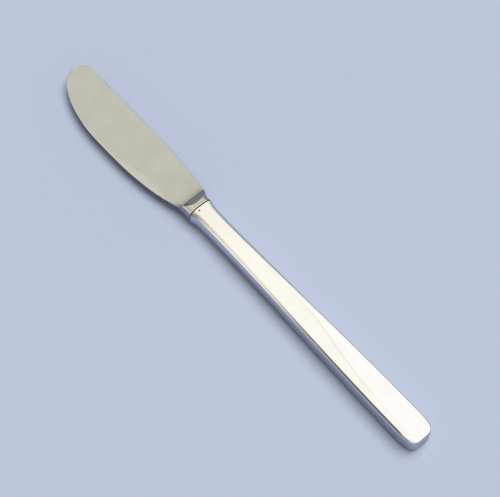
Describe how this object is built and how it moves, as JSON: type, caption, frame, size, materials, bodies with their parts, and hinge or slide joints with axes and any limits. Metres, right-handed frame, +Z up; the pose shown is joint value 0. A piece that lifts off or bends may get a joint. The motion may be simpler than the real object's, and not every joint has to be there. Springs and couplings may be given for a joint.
{
  "type": "table knife",
  "caption": "Hollow-handled table knife with a broad round-tipped steel blade, a short forged bolster and a slender bright silver handle that flattens to a square butt.",
  "frame": {"origin": "on the flat of the handle that the knife lies on, below the handle's axis, half way along the knife", "axes": "+X along the handle's axis from the tip of the blade to the butt, +Y to the spine of the blade, +Z up, out of the broad face"},
  "size_m": [0.205, 0.0191, 0.009],
  "materials": {
    "blade_steel": "polished",
    "handle_silver": "polished",
    "seam_solder": "polished",
    "cement": "matte"
  },
  "bodies": {
    "root": {"blade": "blade_steel", "handle_shell_upper": "handle_silver", "handle_shell_lower": "handle_silver", "seam_solder": "seam_solder", "handle_filler": "cement"}
  },
  "joints": []
}
